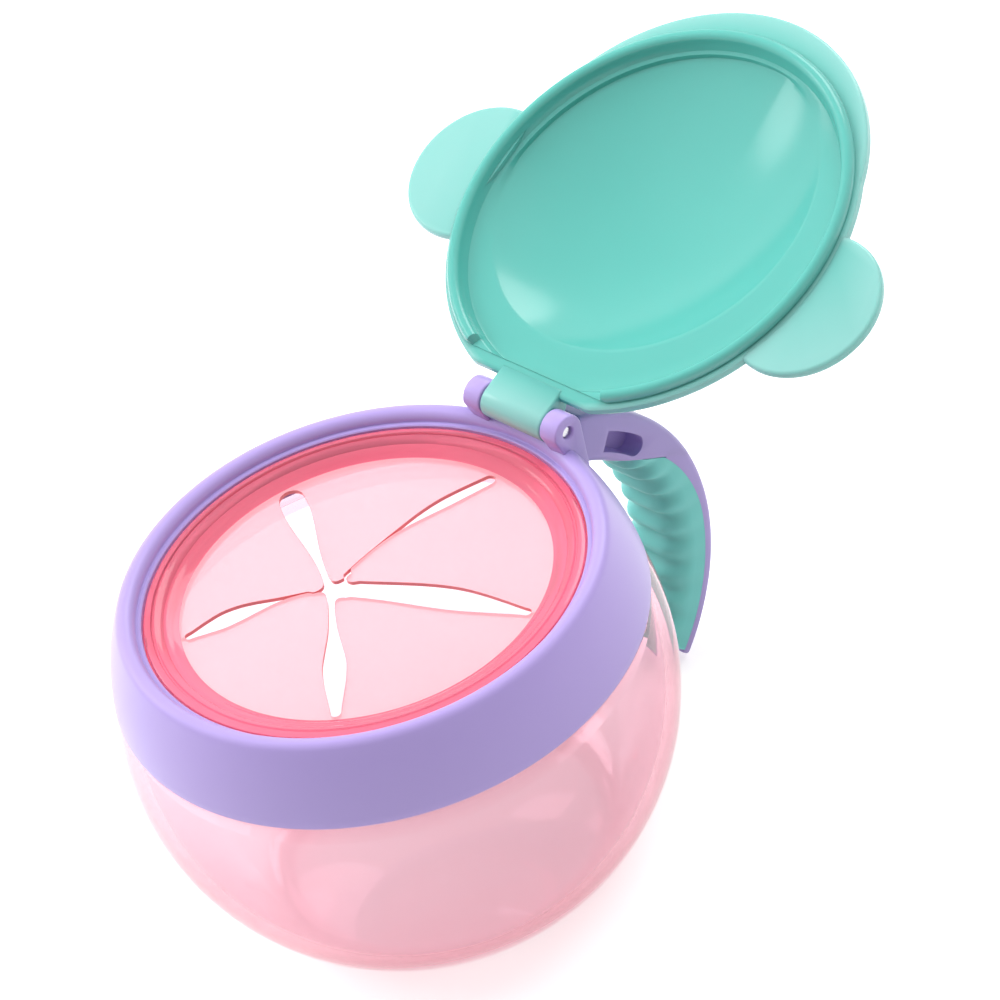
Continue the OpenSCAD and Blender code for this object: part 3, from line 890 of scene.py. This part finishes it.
def slit_width(i, share):
    """Half the width of a slit at a share of its length, smooth between the given ones."""
    widths = slit_forms[i % 5][2] + (2 * slit_forms[i % 5][0],)
    place = share * (len(widths) - 1)
    k = min(int(place), len(widths) - 2)
    t = place - k
    before, a, b, after = (widths[max(0, min(len(widths) - 1, k + j))]
                           for j in (-1, 0, 1, 2))
    smooth = a + 0.5 * t * (b - before + t * (2 * before - 5 * a + 4 * b - after
                                              + t * (3 * (a - b) + after - before)))
    return smooth / 2


def slit_lip(i, side, beyond):
    """Points along one lip of a slit, from a distance beyond the star to its round end."""
    ahead, end = slit_run(i)
    off = Vector((-ahead.y, ahead.x))
    length = (end - star).length
    end_round, bow = slit_forms[i % 5][:2]
    for step in range(1, 41):
        share = step / 40
        if share * length > beyond:
            yield (star + ahead * length * share + off * bow * sin(pi * share)
                   + off * side * slit_width(i, share))
    for turn in (22.5, 45, 67.5, 90):
        sideways, forwards = cos(radians(turn)), sin(radians(turn))
        yield end + (off * side * sideways + ahead * forwards) * end_round


def round_tip(i):
    """The corner where a flap's two lips would meet, and the points of its rounding."""
    (a, _), (b, _) = slit_run(i), slit_run(i + 1)
    corner_point = star + (a * slit_width(i + 1, 0) + b * slit_width(i, 0)) / a.cross(b)
    p, q = corner_point + a * tip_round, corner_point + b * tip_round
    return [p.lerp(corner_point, t).lerp(corner_point.lerp(q, t), t)
            for t in (j / 10 for j in range(11))]


pink_skin = moulded("pink rubber skin", tint(255, 180, 190), 0.16, 0.05, 700, 0.1, 0.03,
                    IOR=1.4, Alpha=0.58, Subsurface_Weight=0.3, Subsurface_Scale=1.5 * mm,
                    Subsurface_Radius=(1.0, 0.6, 0.6))
pink_lip = moulded("pink cut edge", tint(240, 128, 134), 0.3, 0.05, 900, 0.1, 0.03,
                   IOR=1.4)
skin_out = well_r
flap_under, fold_half, fold_step, fold_z = 58.4, 1.2, 0.25, 58.5
for i in range(5):
    tip = round_tip(i)
    left_start = (tip[0] - star).dot(slit_run(i)[0]) + 0.3
    far_start = (tip[-1] - star).dot(slit_run(i + 1)[0]) + 0.3
    left = list(slit_lip(i, 1, left_start))
    far = list(slit_lip(i + 1, -1, far_start))
    middle = radians(90 + 72 * i + 36)
    rim = [skin_out * Vector((cos(a), sin(a)))
           for a in (middle + radians(step * 3) for step in range(-12, 13))]
    flap = bmesh.new()
    outline = [flap.verts.new((p.x, p.y, flap_under))
               for p in tip[::-1] + left + rim + far[::-1]]
    flap.faces.new(outline)
    fold_way = Vector((cos(middle), sin(middle), 0))
    for cut in range(-6, 7):
        bmesh.ops.bisect_plane(
            flap, geom=flap.verts[:] + flap.edges[:] + flap.faces[:],
            plane_co=fold_way * (fold_r + cut * fold_step), plane_no=fold_way)
    grown = bmesh.ops.extrude_face_region(flap, geom=flap.faces[:])["geom"]
    bmesh.ops.translate(flap, vec=(0, 0, skin_top - flap_under),
                        verts=[g for g in grown if isinstance(g, bmesh.types.BMVert)])
    bmesh.ops.recalc_face_normals(flap, faces=flap.faces)
    for face in flap.faces:
        on_rim = hypot(*face.calc_center_median().xy) > skin_out - 0.3
        face.material_index = int(abs(face.normal.z) < 0.5 and not on_rim)
    piece = as_piece(f"flap_skin_{i + 1}", flap, pink_skin, None,
                     [f"flap_{i + 1}"])
    piece.data.materials.append(pink_lip)
    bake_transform(piece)
